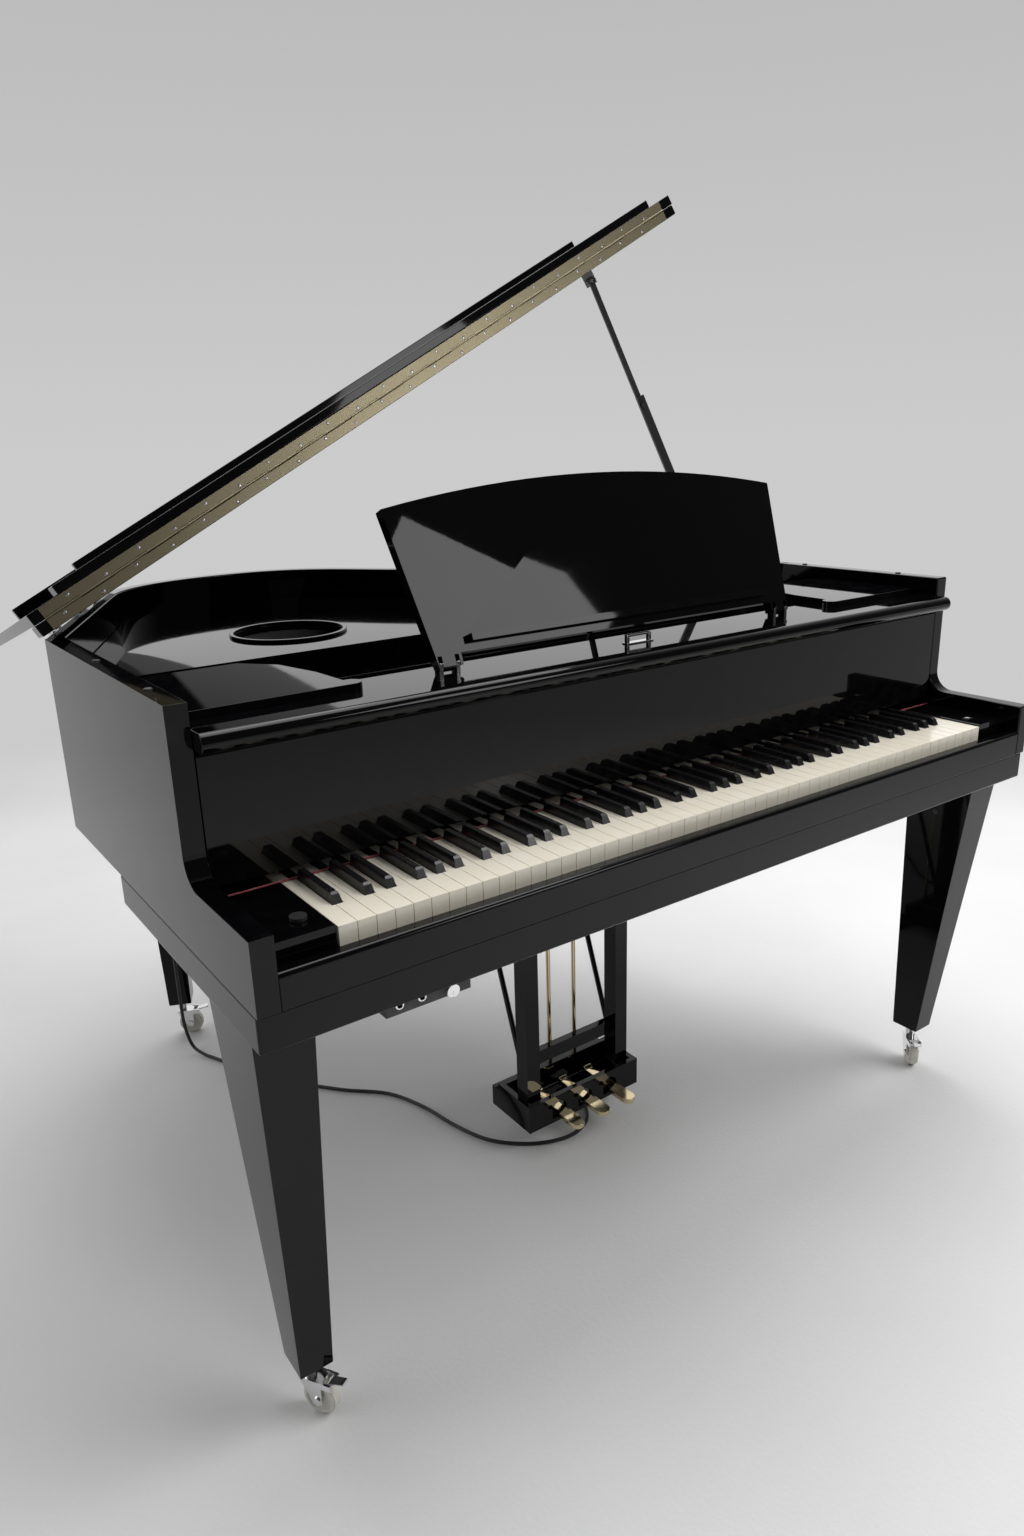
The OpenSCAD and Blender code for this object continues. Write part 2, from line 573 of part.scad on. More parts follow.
// The base stands on the top plate at this depth, whatever the case's width
stay_y = side_len - 44.6847;
stay_s = (stay_y - hinge_at[1] + base_n * sin(hinge_angle)) / cos(hinge_angle);
stay_total = norm([base_n - q_n, q_z - base_z]);
stay_lean = atan2(base_n - q_n, q_z - base_z);
// Both links lie in one line closed as well as open
lower_len = (stay_total + norm([stay_pull, lid_z - stay_drop - base_z])) / 2;
upper_len = stay_total - lower_len;
stay_base = hinge_at + stay_s * slant + base_n * across;
// x is across the hinge line, y along it, about the given point of the stay's plane
module in_plane(n, z) on_hinge(stay_s, z) translate([n, 0, 0]) children();
module on_stay(dz) on_hinge(stay_s, lid_z + dz) translate([stay_n, 0, 0]) children();
module pin_y(y, l, r) translate([0, y, 0]) rotate([-90, 0, 0]) cylinder(h = l, r = r);
module stay_upper() color(black) place() in_plane(q_n, q_z) rotate([0, 180 - stay_lean, 0]) difference() {
  union() {
    pin_y(0.4, link_t - 0.8, link_w / 2);
    translate([-link_w / 2 + 3, 0.4, 0]) cube([link_w - 6, link_t - 0.8, upper_len + 22]);
  }
  pin_y(-1, link_t + 2, stay_pin_r + run);
}
module stay_lower() color(black) place() in_plane(base_n, base_z) rotate([0, -stay_lean, 0]) difference() {
  union() {
    pin_y(-link_t, link_t - 0.4, link_w / 2);
    translate([-link_w / 2, -link_t, 0]) cube([link_w, link_t - 0.4, lower_len + 18]);
    translate([0, 0, lower_len]) pin_y(-link_t - 3, 4, 6);
  }
  pin_y(-link_t - 1, link_t + 2, stay_pin_r + run);
}
module lid_stay_bracket() on_stay(0) {
  translate([-12, link_t, -stay_drop - 8]) cube([24, 3, stay_drop + 8]);
  translate([-12, link_t, -3]) cube([24, 22, 3]);
  translate([0, 0, -stay_drop]) pin_y(0.6, link_t, stay_pin_r);
}

// ---------------------------------------------------------------- fallboard and music desk
module fallboard() color(black) place() {
  along_x(-inner_x + 1.5, 2 * (inner_x - 1.5)) union() {
    translate([fall_y - 8, fall_z - 9]) square([fall_t, fall_top - fall_z + 3]);
    translate([fall_y - 2, fall_z]) square([fall_t - 6, fall_top - fall_z]);
    translate([fall_y - 2, fall_top - 6]) circle(r = 6);
    translate([fall_y + 4, fall_top - 6]) circle(r = 6);
  }
  for (s = [-1, 1]) rod_x(s > 0 ? inner_x - 3 : -inner_x - 10, 13, fall_y, fall_z, fall_pin_r);
}
desk_y = 214;
desk_z = shelf_top + 9;
desk_t = 16;
desk_foot = desk_w / 2 - 26;
desk_pin_r = 3;
// The desk is drawn upright on its hinge line, then leaned back
module desk_lean_over() place() translate([0, desk_y, desk_z]) rotate([-desk_lean, 0, 0]) children();
module desk_face() difference() {
  intersection() {
    polygon([[-desk_foot + 2, -2], [-desk_w / 2, desk_len], [-desk_w / 2, desk_len + 60],
             [desk_w / 2, desk_len + 60], [desk_w / 2, desk_len], [desk_foot - 2, -2]]);
    translate([0, desk_len + 38 - desk_arc]) circle(r = desk_arc, $fn = 200);
  }
  translate([-desk_foot + 40, -10]) square([2 * desk_foot - 80, 24]);
}
desk_arc = (pow(desk_w / 2, 2) + 34 * 34) / 68;
module music_desk() color(black) desk_lean_over() difference() {
  union() {
    translate([0, desk_t / 2, 0]) rotate([90, 0, 0]) linear_extrude(desk_t) desk_face();
    translate([-desk_foot + 56, -desk_t / 2 - 12, 26]) cube([2 * desk_foot - 112, 14, 10]);
    for (x = [-14, 6]) translate([x, desk_t / 2 - 1, strut_up - 8]) cube([8, 13, 16]);
    for (s = [-1, 1]) rod_x(s * (desk_foot - 19) - 9.7, 19.4, 0, 0, 7);
  }
  for (s = [-1, 1]) translate([s * (desk_foot - 19), 0, 0]) {
    rod_x(-30, 60, 0, 0, desk_pin_r + run);
    for (x = [-16.6, 10]) translate([x, -20, -20]) cube([6.6, 40, 33]);
  }
  rod_x(-20, 40, strut_out, strut_up, 2 + run);
}
strut_up = 118;
strut_out = desk_t / 2 + 7;
strut_foot = [desk_y + 122, low_shelf_top + 3];
strut_at = [desk_y + strut_out * cos(desk_lean) + strut_up * sin(desk_lean),
            desk_z - strut_out * sin(desk_lean) + strut_up * cos(desk_lean)];
strut_len = norm(strut_foot - strut_at) - 4;
strut_angle = atan2(strut_foot[0] - strut_at[0], strut_at[1] - strut_foot[1]);
module desk_strut() color(satin) place() translate([0, strut_at[0], strut_at[1]])
  rotate([180 + strut_angle, 0, 0]) union() {
    rod_x(-15, 30, 0, 0, 2);
    rod_x(-5.6, 11.2, 0, 0, 4);
    translate([-4, -3, 0]) cube([8, 6, strut_len]);
    translate([0, 0, strut_len]) rod_x(-12, 24, 0, 0, 4);
  }
module pivot_brackets() color(steel) place() {
  for (s = [-1, 1]) translate([s * (desk_foot - 19), 0, 0]) {
    for (x = [-16, 10.4]) translate([x, desk_y - 7, shelf_top]) cube([5.6, 14, 15]);
    rod_x(-12, 24, desk_y, desk_z, desk_pin_r);
  }
  in_plane(base_n, base_z) {
    for (y = [-link_t - 3.4, 0.1]) translate([-12, y, plate_top - base_z]) cube([24, 3, 54]);
    pin_y(-link_t - 3, link_t + 6, stay_pin_r);
  }
}

// ---------------------------------------------------------------- mains cord
cord_r = 3.5;
cord_x = -505;
cord_y = 1060;
gland_r = 9;
gland_low = 634;
module cord_gland() color(satin) place() translate([cord_x, cord_y, 0]) difference() {
  union() {
    translate([0, 0, 668 - 3]) cylinder(h = 3, r = 13);
    translate([0, 0, 668 - 3]) cylinder(h = 24, r = gland_r - 0.2);
    translate([0, 0, gland_low]) rotate_extrude() polygon([[0, 0], [4.8, 0], [7, 31.5], [0, 31.5]]);
  }
  translate([0, 0, gland_low + 12]) cylinder(h = 60, r = cord_r);
}
// The route from the gland to the coil, chosen by hand: down, over the floor and under the case
cord_route = [
  [-505, 1060, 634], [-505, 1060, 560], [-505, 1060, 400], [-505, 1060, 240], [-505, 1059, 120],
  [-504, 1056, 60], [-498, 1040, 18], [-486, 1012, 6], [-468, 975, 4], [-430, 895, 4],
  [-375, 800, 4], [-310, 715, 4], [-243, 646, 4], [-210, 565, 4], [-193, 481, 4],
  [-165, 405, 4], [-110, 350, 4], [-45, 326, 4], [10, 342, 4], [42, 390, 4],
  [49.5, 435, 4], [49.5, 478, 4]
];
function catmull(p, i, t) = let (
    a = p[max(i - 1, 0)], b = p[i], c = p[i + 1], d = p[min(i + 2, len(p) - 1)])
  0.5 * (2 * b + (c - a) * t + (2 * a - 5 * b + 4 * c - d) * t * t + (3 * b - 3 * c + d - a) * pow(t, 3));
cord_rings = 3;
cord_path = concat([for (i = [0:len(cord_route) - 2]) for (k = [0:cord_rings - 1]) catmull(cord_route, i, k / cord_rings)],
                   [cord_route[len(cord_route) - 1]]);
cord_sides = 8;
// A ring across the path: e1 stays level, e2 completes the frame
function ring(p, d) = let (
    flat = norm([d[0], d[1]]) > 0.02,
    e1 = flat ? unit([d[1], -d[0], 0]) : [1, 0, 0],
    e2 = cross(d, e1))
  [for (k = [0:cord_sides - 1]) p + cord_r * (cos(360 * k / cord_sides) * e1 + sin(360 * k / cord_sides) * e2)];
module power_cord() color(satin) place() let (
    n = len(cord_path),
    rings = [for (i = [0:n - 1]) ring(cord_path[i], level_dir(i))])
  polyhedron(
    points = [for (r = rings) for (p = r) [p[0], p[1], max(p[2], 0.4)]],
    faces = concat(
      [[for (k = [0:cord_sides - 1]) k]],
      [for (i = [0:n - 2]) for (k = [0:cord_sides - 1]) let (a = i * cord_sides + k, b = i * cord_sides + (k + 1) % cord_sides)
        [a, a + cord_sides, b + cord_sides, b]],
      [[for (k = [cord_sides - 1:-1:0]) (n - 1) * cord_sides + k]]));
// Direction along the path
function level_dir(i) = let (d = unit(cord_path[min(i + 1, len(cord_path) - 1)] - cord_path[max(i - 1, 0)]))
  i == 0 ? [0, 0, -1] : d;
coil_r = 11 * cord_r;    // mean radius, eleven cord diameters across
coil_at = [95, 505];
module cord_coil() color(satin) place() translate(coil_at)
  rotate_extrude($fn = 64) translate([coil_r - 3 * cord_r, 0.4]) square([6 * cord_r, 13.4]);
module mains_plug() color(satin) place()
  translate([coil_at[0] + 49, coil_at[1] + coil_r + 2 * cord_r, 0]) rotate([0, 0, -90]) union() {
    translate([-14, 0, 0.4]) cube([28, 34, 24]);
    for (x = [-6.5, 6.5]) translate([x, 33, 12]) rotate([-90, 0, 0]) cylinder(h = 19, r = 2.3);
    translate([0, 1, 12]) rotate([90, 0, 0]) cylinder(h = 20, r = 5);
  }

keybed();
left_side_panel();
right_side_panel();
rear_rim();
bottom_board();
top_plate();
port_ring();
woofer();
front_shelf();
wing_shelves();
key_slip();
key_blocks();
key_felt();
key_frame();
white_keys();
black_keys();
main_board();
power_unit();
control_box();
lyre_frame();
pedal_box();
pedal_rods();
front_legs();
rear_leg();
rim_hinges();
pivot_brackets();
cord_gland();
power_cord();
cord_coil();
mains_plug();
lid_board();
lid_fittings();
lower_strip();
flap_board();
upper_strip();
flap_frame();
stay_upper();
stay_lower();
fallboard();
music_desk();
desk_strut();
control_knob();
volume_knob();
power_switch();
left_pedal();
middle_pedal();
right_pedal();
left_fork();
left_wheel();
left_brake();
right_fork();
right_wheel();
right_brake();
rear_fork();
rear_wheel();
rear_brake();
key_c();
key_c_sharp();
key_d();
key_d_sharp();
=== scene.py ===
import bpy
import bmesh
import json
import math
import numpy as np
from mathutils import Matrix


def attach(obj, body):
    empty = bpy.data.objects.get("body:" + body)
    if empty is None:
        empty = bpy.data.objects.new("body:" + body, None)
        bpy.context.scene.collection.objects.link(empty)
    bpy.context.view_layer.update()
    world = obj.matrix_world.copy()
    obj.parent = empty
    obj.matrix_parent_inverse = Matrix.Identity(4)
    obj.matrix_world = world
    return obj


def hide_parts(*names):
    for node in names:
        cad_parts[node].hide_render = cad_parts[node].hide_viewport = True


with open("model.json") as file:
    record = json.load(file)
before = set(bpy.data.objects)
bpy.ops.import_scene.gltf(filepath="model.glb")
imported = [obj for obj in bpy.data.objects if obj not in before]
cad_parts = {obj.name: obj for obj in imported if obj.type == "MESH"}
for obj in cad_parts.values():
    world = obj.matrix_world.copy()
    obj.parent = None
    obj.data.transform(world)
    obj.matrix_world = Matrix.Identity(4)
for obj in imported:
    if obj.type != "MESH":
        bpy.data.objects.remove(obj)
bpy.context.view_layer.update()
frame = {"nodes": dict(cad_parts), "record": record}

# Camera ------------------------------------------------------------------
# A standing player's eye, in front of the bass end and a little above the music desk.
# Every place below is given in millimetres from the floor under the middle of the
# keyboard's front edge, and at() turns it into metres in the piano's own frame.


def at(x, y, z):
    """Points in millimetres from the keyboard's middle front edge, in the piano's frame in metres.

    x, y and z may be arrays."""
    return ((x + 15.8) / 1000, (y - 655.9) / 1000, z / 1000)


camera = bpy.data.objects.new("eye", bpy.data.cameras.new("eye"))
bpy.context.scene.collection.objects.link(camera)
camera.data.sensor_fit = "VERTICAL"
camera.data.sensor_height = 36
camera.data.lens = 24.264
camera.data.clip_end = 60
turn = Matrix(((0.81160, 0.19756, -0.54980), (-0.58354, 0.22881, -0.77918), (-0.02814, 0.95321, 0.30098)))
camera.matrix_world = Matrix.Translation(at(-1041.3, -940.2, 1223.9)) @ turn.to_4x4()
bpy.context.scene.camera = camera

# Mains cord ----------------------------------------------------------------
# Round black two-core cord in a soft plastic sheath, moulded onto its plug. It drops from the
# gland under the tail, crosses the floor behind the left leg and passes under the pedal box,
# and its spare length lies in a tied coil behind the box.


def shaded(name):
    """A new material, its nodes, its Principled shader and an Object coordinates output."""
    mat = bpy.data.materials.new(name)
    mat.use_nodes = True
    tree = mat.node_tree
    coords = tree.nodes.new("ShaderNodeTexCoord").outputs["Object"]
    return mat, tree, tree.nodes["Principled BSDF"], coords


def group(name, inputs, outputs):
    """A shader node group with named inputs and outputs, and its inner ends."""
    g = bpy.data.node_groups.new(name, "ShaderNodeTree")
    for label, kind, value in inputs:
        s = g.interface.new_socket(label, in_out="INPUT", socket_type="NodeSocket" + kind)
        if value is not None:
            s.default_value = value
    for label, kind in outputs:
        g.interface.new_socket(label, in_out="OUTPUT", socket_type="NodeSocket" + kind)
    return g, g.nodes.new("NodeGroupInput").outputs, g.nodes.new("NodeGroupOutput").inputs


def noise(tree, vector, scale, detail=3.0, stretch=None):
    """A noise value over a surface, drawn out along an axis by a Mapping node if stretch is given."""
    if stretch:
        m = tree.nodes.new("ShaderNodeMapping")
        m.inputs["Scale"].default_value = stretch
        tree.links.new(vector, m.inputs["Vector"])
        vector = m.outputs["Vector"]
    n = tree.nodes.new("ShaderNodeTexNoise")
    n.inputs["Detail"].default_value = detail
    if isinstance(scale, (int, float)):
        n.inputs["Scale"].default_value = scale
    else:
        tree.links.new(scale, n.inputs["Scale"])
    tree.links.new(vector, n.inputs["Vector"])
    return n.outputs["Fac"]


def span(tree, value, a, b, low, high):
    """value from a to b turned into low to high, held inside them; low and high may be sockets."""
    n = tree.nodes.new("ShaderNodeMapRange")
    tree.links.new(value, n.inputs["Value"])
    for label, v in (("From Min", a), ("From Max", b), ("To Min", low), ("To Max", high)):
        if isinstance(v, (int, float)):
            n.inputs[label].default_value = v
        else:
            tree.links.new(v, n.inputs[label])
    return n.outputs["Result"]


def bump(tree, height, strength, depth=0.001, after=None):
    """A surface normal from a height."""
    n = tree.nodes.new("ShaderNodeBump")
    n.inputs["Distance"].default_value = depth
    if isinstance(strength, (int, float)):
        n.inputs["Strength"].default_value = strength
    else:
        tree.links.new(strength, n.inputs["Strength"])
    tree.links.new(height, n.inputs["Height"])
    if after:
        tree.links.new(after, n.inputs["Normal"])
    return n.outputs["Normal"]


# Handling marks: cloudy wipe marks and fine dust in the roughness, and a faint ripple in the surface
marks, ins, outs = group("handling_marks",
    [("Vector", "Vector", None), ("Scale", "Float", 6.0), ("Smooth", "Float", 0.05), ("Rough", "Float", 0.15),
     ("Ripple", "Float", 0.1)],
    [("Roughness", "Float"), ("Normal", "Vector")])
cloud = noise(marks, ins["Vector"], ins["Scale"], 6.0)
dust = noise(marks, ins["Vector"], 420.0, 2.0)
both = marks.nodes.new("ShaderNodeMath")
both.operation = "MULTIPLY_ADD"
both.inputs[1].default_value = 0.35
marks.links.new(dust, both.inputs[0])
marks.links.new(cloud, both.inputs[2])
marks.links.new(span(marks, both.outputs[0], 0.55, 0.95, ins["Smooth"], ins["Rough"]), outs["Roughness"])
marks.links.new(bump(marks, noise(marks, ins["Vector"], 95.0, 1.0), ins["Ripple"], 0.0004), outs["Normal"])

# Rubbed tone: the colour, with a second one worn through on the corners and in patches
rubbed, ins, outs = group("rubbed_tone",
    [("Vector", "Vector", None), ("Colour", "Color", None), ("Worn", "Color", None), ("Amount", "Float", 0.5)],
    [("Colour", "Color")])
geo = rubbed.nodes.new("ShaderNodeNewGeometry")
corner = span(rubbed, geo.outputs["Pointiness"], 0.52, 0.62, 0.0, 1.0)
patch = span(rubbed, noise(rubbed, ins["Vector"], 38.0, 5.0), 0.45, 0.7, 0.12, 1.0)
mask = rubbed.nodes.new("ShaderNodeMath")
mask.operation = "MULTIPLY"
rubbed.links.new(corner, mask.inputs[0])
rubbed.links.new(patch, mask.inputs[1])
less = rubbed.nodes.new("ShaderNodeMath")
less.operation = "MULTIPLY"
rubbed.links.new(mask.outputs[0], less.inputs[0])
rubbed.links.new(ins["Amount"], less.inputs[1])
mix = rubbed.nodes.new("ShaderNodeMix")
mix.data_type = "RGBA"
rubbed.links.new(less.outputs[0], mix.inputs["Factor"])
rubbed.links.new(ins["Colour"], mix.inputs["A"])
rubbed.links.new(ins["Worn"], mix.inputs["B"])
rubbed.links.new(mix.outputs["Result"], outs["Colour"])


def finish(name, colour, worn, amount, smooth, rough, scale, ripple, metal=0.0, coat=0.0, grain=None, extra=None):
    """A finish of this piano: its colour rubbed towards worn, its polish from smooth to rough, and its surface ripple.

    grain is (strength, stretch) of a drawn-out texture, such as brushing; extra adds a height of its own.
    """
    mat, tree, shader, coords = shaded(name)
    m = tree.nodes.new("ShaderNodeGroup")
    m.node_tree = marks
    for label, v in (("Scale", scale), ("Smooth", smooth), ("Rough", rough), ("Ripple", ripple)):
        m.inputs[label].default_value = v
    t = tree.nodes.new("ShaderNodeGroup")
    t.node_tree = rubbed
    t.inputs["Colour"].default_value = (*colour, 1)
    t.inputs["Worn"].default_value = (*worn, 1)
    t.inputs["Amount"].default_value = amount
    tree.links.new(coords, m.inputs["Vector"])
    tree.links.new(coords, t.inputs["Vector"])
    tree.links.new(t.outputs["Colour"], shader.inputs["Base Color"])
    tree.links.new(m.outputs["Roughness"], shader.inputs["Roughness"])
    normal = m.outputs["Normal"]
    if grain:
        normal = bump(tree, noise(tree, coords, 60.0, 4.0, grain[1]), grain[0], 0.0006, normal)
    if extra:
        normal = bump(tree, extra(tree, coords), 0.6, 0.0012, normal)
    tree.links.new(normal, shader.inputs["Normal"])
    shader.inputs["Metallic"].default_value = metal
    shader.inputs["Coat Weight"].default_value = coat
    shader.inputs["Coat Roughness"].default_value = 0.03
    return mat


cord_black = finish("cord_sheath", (0.012, 0.012, 0.013), (0.05, 0.05, 0.05), 0.3, 0.42, 0.62, 30.0, 0.35)
route = np.array([
    (-505, 1060, 634), (-505, 1060, 560), (-505, 1060, 400), (-505, 1060, 240), (-505, 1059, 120),
    (-504, 1056, 60), (-498, 1040, 18), (-486, 1012, 6), (-468, 975, 4), (-430, 895, 4),
    (-375, 800, 4), (-310, 715, 4), (-243, 646, 4), (-210, 565, 4), (-193, 481, 4),
    (-165, 405, 4), (-110, 350, 4), (-45, 326, 4), (10, 342, 4), (42, 390, 4),
    (49.5, 435, 4), (49.5, 478, 4)], float)


def through(points, steps):
    """A smooth line through points: cubic pieces whose slope at each point is half the step across it."""
    p = np.vstack([points[:1], points, points[-1:]])
    a, b, c, d = p[:-3, None], p[1:-2, None], p[2:-1, None], p[3:, None]
    t = np.linspace(0, 1, steps, endpoint=False)[None, :, None]
    q = 0.5 * (2 * b + (c - a) * t + (2 * a - 5 * b + 4 * c - d) * t**2 + (3 * b - 3 * c + d - a) * t**3)
    return np.vstack([q.reshape(-1, 3), points[-1:]])


coil_middle = np.array((95.0, 505.0))
wound = np.radians(np.linspace(180, 180 - 360 * 4.25, 260))
turns = (wound[0] - wound) / (2 * np.pi)
coil_r = 46.0 - 7.2 * np.clip(turns, 0, 2) + 7.2 * np.clip(turns - 2.25, 0, 2)
coil_z = 4.0 + 7.2 * (0.5 - 0.5 * np.cos(np.pi * np.clip((turns - 1.95) / 0.35, 0, 1)))
coil = np.column_stack([coil_middle[0] + coil_r * np.cos(wound), coil_middle[1] + coil_r * np.sin(wound), coil_z])
lead = np.array([coil[-1] + (9.0, 0.2, 0.3), (123.0, 550.6, 11.8), (140.0, 550.5, 12.0)])
cord_line = through(np.vstack([through(route, 6), (49.3, 492, 4), coil[2:], lead]), 1)
cord_m = np.column_stack(at(*cord_line.T))
curve = bpy.data.curves.new("power_lead", "CURVE")
curve.dimensions = "3D"
curve.bevel_depth = 0.0035
curve.bevel_resolution = 3
curve.use_fill_caps = True
line = curve.splines.new("POLY")
line.points.add(len(cord_m) - 1)
line.points.foreach_set("co", np.column_stack([cord_m, np.ones(len(cord_m))]).ravel())
curve.materials.append(cord_black)
lead_piece = bpy.data.objects.new("power_lead", curve)
bpy.context.scene.collection.objects.link(lead_piece)
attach(lead_piece, "case")
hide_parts("power_cord", "cord_coil")
home = {n: b for b, nodes in frame["record"]["behaviour"]["bodies"].items() for n in nodes}


def eased(name, material, width=0.0012, segments=2, angle=28.0, merge=3e-6):
    """A CAD piece with its sharp edges eased by width: its triangles are merged, flat seams cleared, edges rounded."""
    b = bmesh.new()
    b.from_mesh(frame["nodes"][name].data)
    bmesh.ops.remove_doubles(b, verts=b.verts, dist=merge)
    bmesh.ops.dissolve_limit(b, angle_limit=math.radians(0.5), verts=b.verts, edges=b.edges)
    mesh = bpy.data.meshes.new(name + "_eased")
    b.to_mesh(mesh)
    b.free()
    mesh.materials.append(material)
    mesh.shade_smooth()
    mesh.set_sharp_from_angle(angle=math.radians(angle))
    piece = bpy.data.objects.new(name + "_eased", mesh)
    bpy.context.scene.collection.objects.link(piece)
    edge = piece.modifiers.new("eased", "BEVEL")
    edge.limit_method = "ANGLE"
    edge.angle_limit = math.radians(angle)
    edge.width = width
    edge.segments = segments
    edge.harden_normals = True
    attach(piece, home[name])
    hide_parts(name)
    return piece


def turned(profile, sides=24):
    """A profile of (radius, height) pairs turned about Z: rings of equal points, closed at ends of no radius."""
    p = np.array(profile, float)
    t = np.linspace(0, 2 * np.pi, sides, endpoint=False)
    v = np.stack([p[:, :1] * np.cos(t), p[:, :1] * np.sin(t), np.repeat(p[:, 1:], sides, 1)], 2).reshape(-1, 3)
    i, k = np.meshgrid(np.arange(len(p) - 1), np.arange(sides), indexing="ij")
    k2 = (k + 1) % sides
    f = np.stack([i * sides + k, i * sides + k2, (i + 1) * sides + k2, (i + 1) * sides + k], 2).reshape(-1, 4)
    return v, f


def placed(shape, origin, along, scale=1.0):
    """Copies of one shape with its Z turned to along, one at each origin, joined into one set of points and faces."""
    v, f = shape
    z = np.array(along, float) / np.linalg.norm(along)
    x = np.cross(z, (0.31, 0.2, 0.93) if abs(z[2]) < 0.9 else (0.0, 1.0, 0.0))
    x /= np.linalg.norm(x)
    turned_v = v @ np.array([x, np.cross(z, x), z]) * scale
    o = np.atleast_2d(np.array(origin, float))
    vs = (o[:, None] + turned_v[None]).reshape(-1, 3)
    fs = (np.arange(len(o))[:, None, None] * len(v) + f[None]).reshape(-1, f.shape[1])
    return vs, fs


def made(name, shapes, material, body, width=0.0, smooth=35.0):
    """One piece from several shapes in millimetres, its doubled points merged and its faces turned outwards."""
    first = np.cumsum([0] + [len(v) for v, f in shapes])
    points = np.column_stack(at(*np.vstack([v for v, f in shapes]).T))
    faces = np.vstack([f + n for (v, f), n in zip(shapes, first)])
    mesh = bpy.data.meshes.new(name)
    mesh.from_pydata(points.tolist(), [], faces.tolist())
    b = bmesh.new()
    b.from_mesh(mesh)
    bmesh.ops.remove_doubles(b, verts=b.verts, dist=1e-6)
    bmesh.ops.recalc_face_normals(b, faces=b.faces)
    b.to_mesh(mesh)
    b.free()
    mesh.materials.append(material)
    mesh.shade_smooth()
    mesh.set_sharp_from_angle(angle=math.radians(smooth))
    piece = bpy.data.objects.new(name, mesh)
    bpy.context.scene.collection.objects.link(piece)
    if width:
        edge = piece.modifiers.new("eased", "BEVEL")
        edge.limit_method = "ANGLE"
        edge.angle_limit = math.radians(smooth)
        edge.width = width
        edge.segments = 2
        edge.harden_normals = True
    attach(piece, body)
    return piece


def bar(low, high):
    """A closed rectangular bar between two corners."""
    c = np.array([low, high], float)
    v = np.array([(c[i, 0], c[j, 1], c[k, 2]) for i in (0, 1) for j in (0, 1) for k in (0, 1)])
    return v, np.array([(0, 1, 3, 2), (4, 6, 7, 5), (0, 4, 5, 1), (2, 3, 7, 6), (0, 2, 6, 4), (1, 5, 7, 3)])


plug = eased("mains_plug", cord_black, 0.003, 3)
eased("cord_gland", cord_black, 0.0006, 2)
tie_t = np.linspace(0, 2 * np.pi, 28, endpoint=False)
tie_ring = np.column_stack([38.5 + 13.0 * np.cos(tie_t), np.zeros(28), 7.9 + 8.0 * np.sin(tie_t)])
tie_v = np.vstack([tie_ring + (coil_middle[0], coil_middle[1] - 4, 0),
                   tie_ring + (coil_middle[0], coil_middle[1] + 4, 0)])
tie_v[:, 2] = np.maximum(tie_v[:, 2], 1.6)
k = np.arange(28)
tie_f = np.column_stack([k, (k + 1) % 28, 28 + (k + 1) % 28, 28 + k])
tie = made("coil_tie", [(tie_v, tie_f)], cord_black, "case")
thick = tie.modifiers.new("thick", "SOLIDIFY")
thick.thickness = 0.0008
thick.offset = 1

# Lacquered case --------------------------------------------------------------
# Sides, bent rim, keybed, shelves and legs are board and laminated wood under thick black
# polyester lacquer, sanded flat and buffed to a mirror, with every edge slightly eased.
lacquer = finish("black_lacquer", (0.0012, 0.0012, 0.0016), (0.01, 0.01, 0.011), 0.4, 0.02, 0.07, 4.0, 0.01)
lacquer.node_tree.nodes["Principled BSDF"].inputs["IOR"].default_value = 1.33
for name, width in (("left_side_panel", 0.0028), ("right_side_panel", 0.0028), ("rear_rim", 0.0028),
                    ("keybed", 0.0035), ("front_shelf", 0.0015), ("wing_shelves", 0.0022), ("top_plate", 0.0012),
                    ("key_slip", 0.0012), ("key_blocks", 0.0022), ("front_legs", 0.0025), ("rear_leg", 0.0025)):
    eased(name, lacquer, width, 3)
underside = finish("sealed_board", (0.012, 0.012, 0.013), (0.05, 0.045, 0.04), 0.4, 0.45, 0.7, 9.0, 0.25)
eased("bottom_board", underside, 0.0008)

# Fallboard and music desk ----------------------------------------------------
# The fallboard is one lacquered board on end pins. The desk is a thinner curved board on two
# feet that lean on the shelf, with a small polished catch between them.
for name, width in (("fallboard", 0.002), ("music_desk", 0.0026)):
    eased(name, lacquer, width, 3)
satin = finish("satin_black", (0.02, 0.02, 0.021), (0.12, 0.12, 0.12), 0.5, 0.3, 0.5, 12.0, 0.2)
eased("desk_strut", satin, 0.0008)
chrome = finish("polished_chrome", (0.78, 0.78, 0.79), (0.9, 0.9, 0.9), 0.3, 0.04, 0.16, 18.0, 0.03, metal=1.0)
made("desk_catch", [bar((-26, 193, 931.5), (26, 206, 934)), bar((-24, 196, 933.5), (-19, 203, 943)),
                    bar((19, 196, 933.5), (24, 203, 943)), bar((-24, 196, 942.5), (24, 203, 946))],
                   chrome, "case", 0.0009)

# Keyboard ---------------------------------------------------------------------
# White keys are moulded in cream plastic with eased fronts, black keys in a satin black one.
# A red felt strip closes the gap behind them, and they turn on one steel rod.
ivory = finish("cream_key", (0.80, 0.745, 0.62), (0.86, 0.83, 0.76), 0.5, 0.13, 0.3, 14.0, 0.04, coat=0.25)
ebony = finish("black_key", (0.008, 0.008, 0.009), (0.03, 0.03, 0.032), 0.6, 0.16, 0.34, 16.0, 0.05)
eased("white_keys", ivory, 0.0011, 2)
eased("black_keys", ebony, 0.0012, 2)
for name in ("key_c", "key_d"):
    eased(name, ivory, 0.0011, 2)
for name in ("key_c_sharp", "key_d_sharp"):
    eased(name, ebony, 0.0012, 2)


